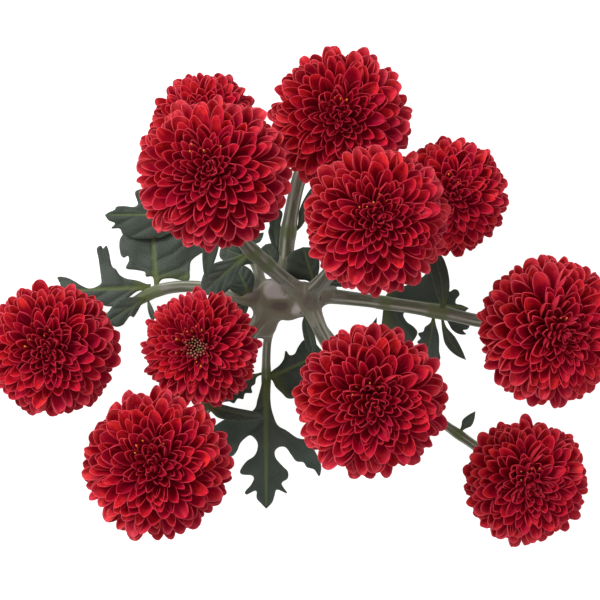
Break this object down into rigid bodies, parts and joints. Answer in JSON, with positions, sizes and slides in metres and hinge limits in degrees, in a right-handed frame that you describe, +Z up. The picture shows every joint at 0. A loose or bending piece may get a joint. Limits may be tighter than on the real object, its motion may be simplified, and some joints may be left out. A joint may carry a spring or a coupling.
{
  "type": "pompon chrysanthemum spray",
  "caption": "Cut spray of a crimson pompon chrysanthemum lying face up: ball blooms on curved peduncles from a short stem, with lobed leaves.",
  "frame": {"origin": "on the surface that the spray lies on, under the middle of its bounding box", "axes": "+Z up, the way the blooms face; +X and +Y across the spray, with the cut stem's end towards -Y"},
  "size_m": [0.1844, 0.1438, 0.1013],
  "materials": {
    "petal": "soft crimson petals, matt",
    "stem": "grey-green ribbed stem, matt",
    "leaf": "dark grey-green leaf, slightly waxy"
  },
  "bodies": {
    "root": {"stem": "stem", "bloom_1": "petal", "bloom_2": "petal", "bloom_3": "petal", "bloom_4": "petal", "bloom_5": "petal", "bloom_6": "petal", "bloom_7": "petal", "bloom_8": "petal", "bloom_9": "petal", "bloom_10": "petal", "bloom_11": "petal", "leaf_1": "leaf", "leaf_2": "leaf", "leaf_3": "leaf", "leaf_4": "leaf", "leaf_5": "leaf", "leaf_6": "leaf", "leaf_7": "leaf", "leaf_8": "leaf", "leaf_9": "leaf", "leaf_10": "leaf", "leaf_11": "leaf", "leaf_12": "leaf", "leaf_13": "leaf", "leaf_14": "leaf", "leaf_15": "leaf", "leaf_16": "leaf", "leaf_17": "leaf", "leaf_18": "leaf", "leaf_19": "leaf", "leaf_20": "leaf", "leaf_21": "leaf", "leaf_22": "leaf", "leaf_23": "leaf", "leaf_24": "leaf", "leaf_25": "leaf", "leaf_26": "leaf", "leaf_27": "leaf", "leaf_28": "leaf"}
  },
  "joints": []
}
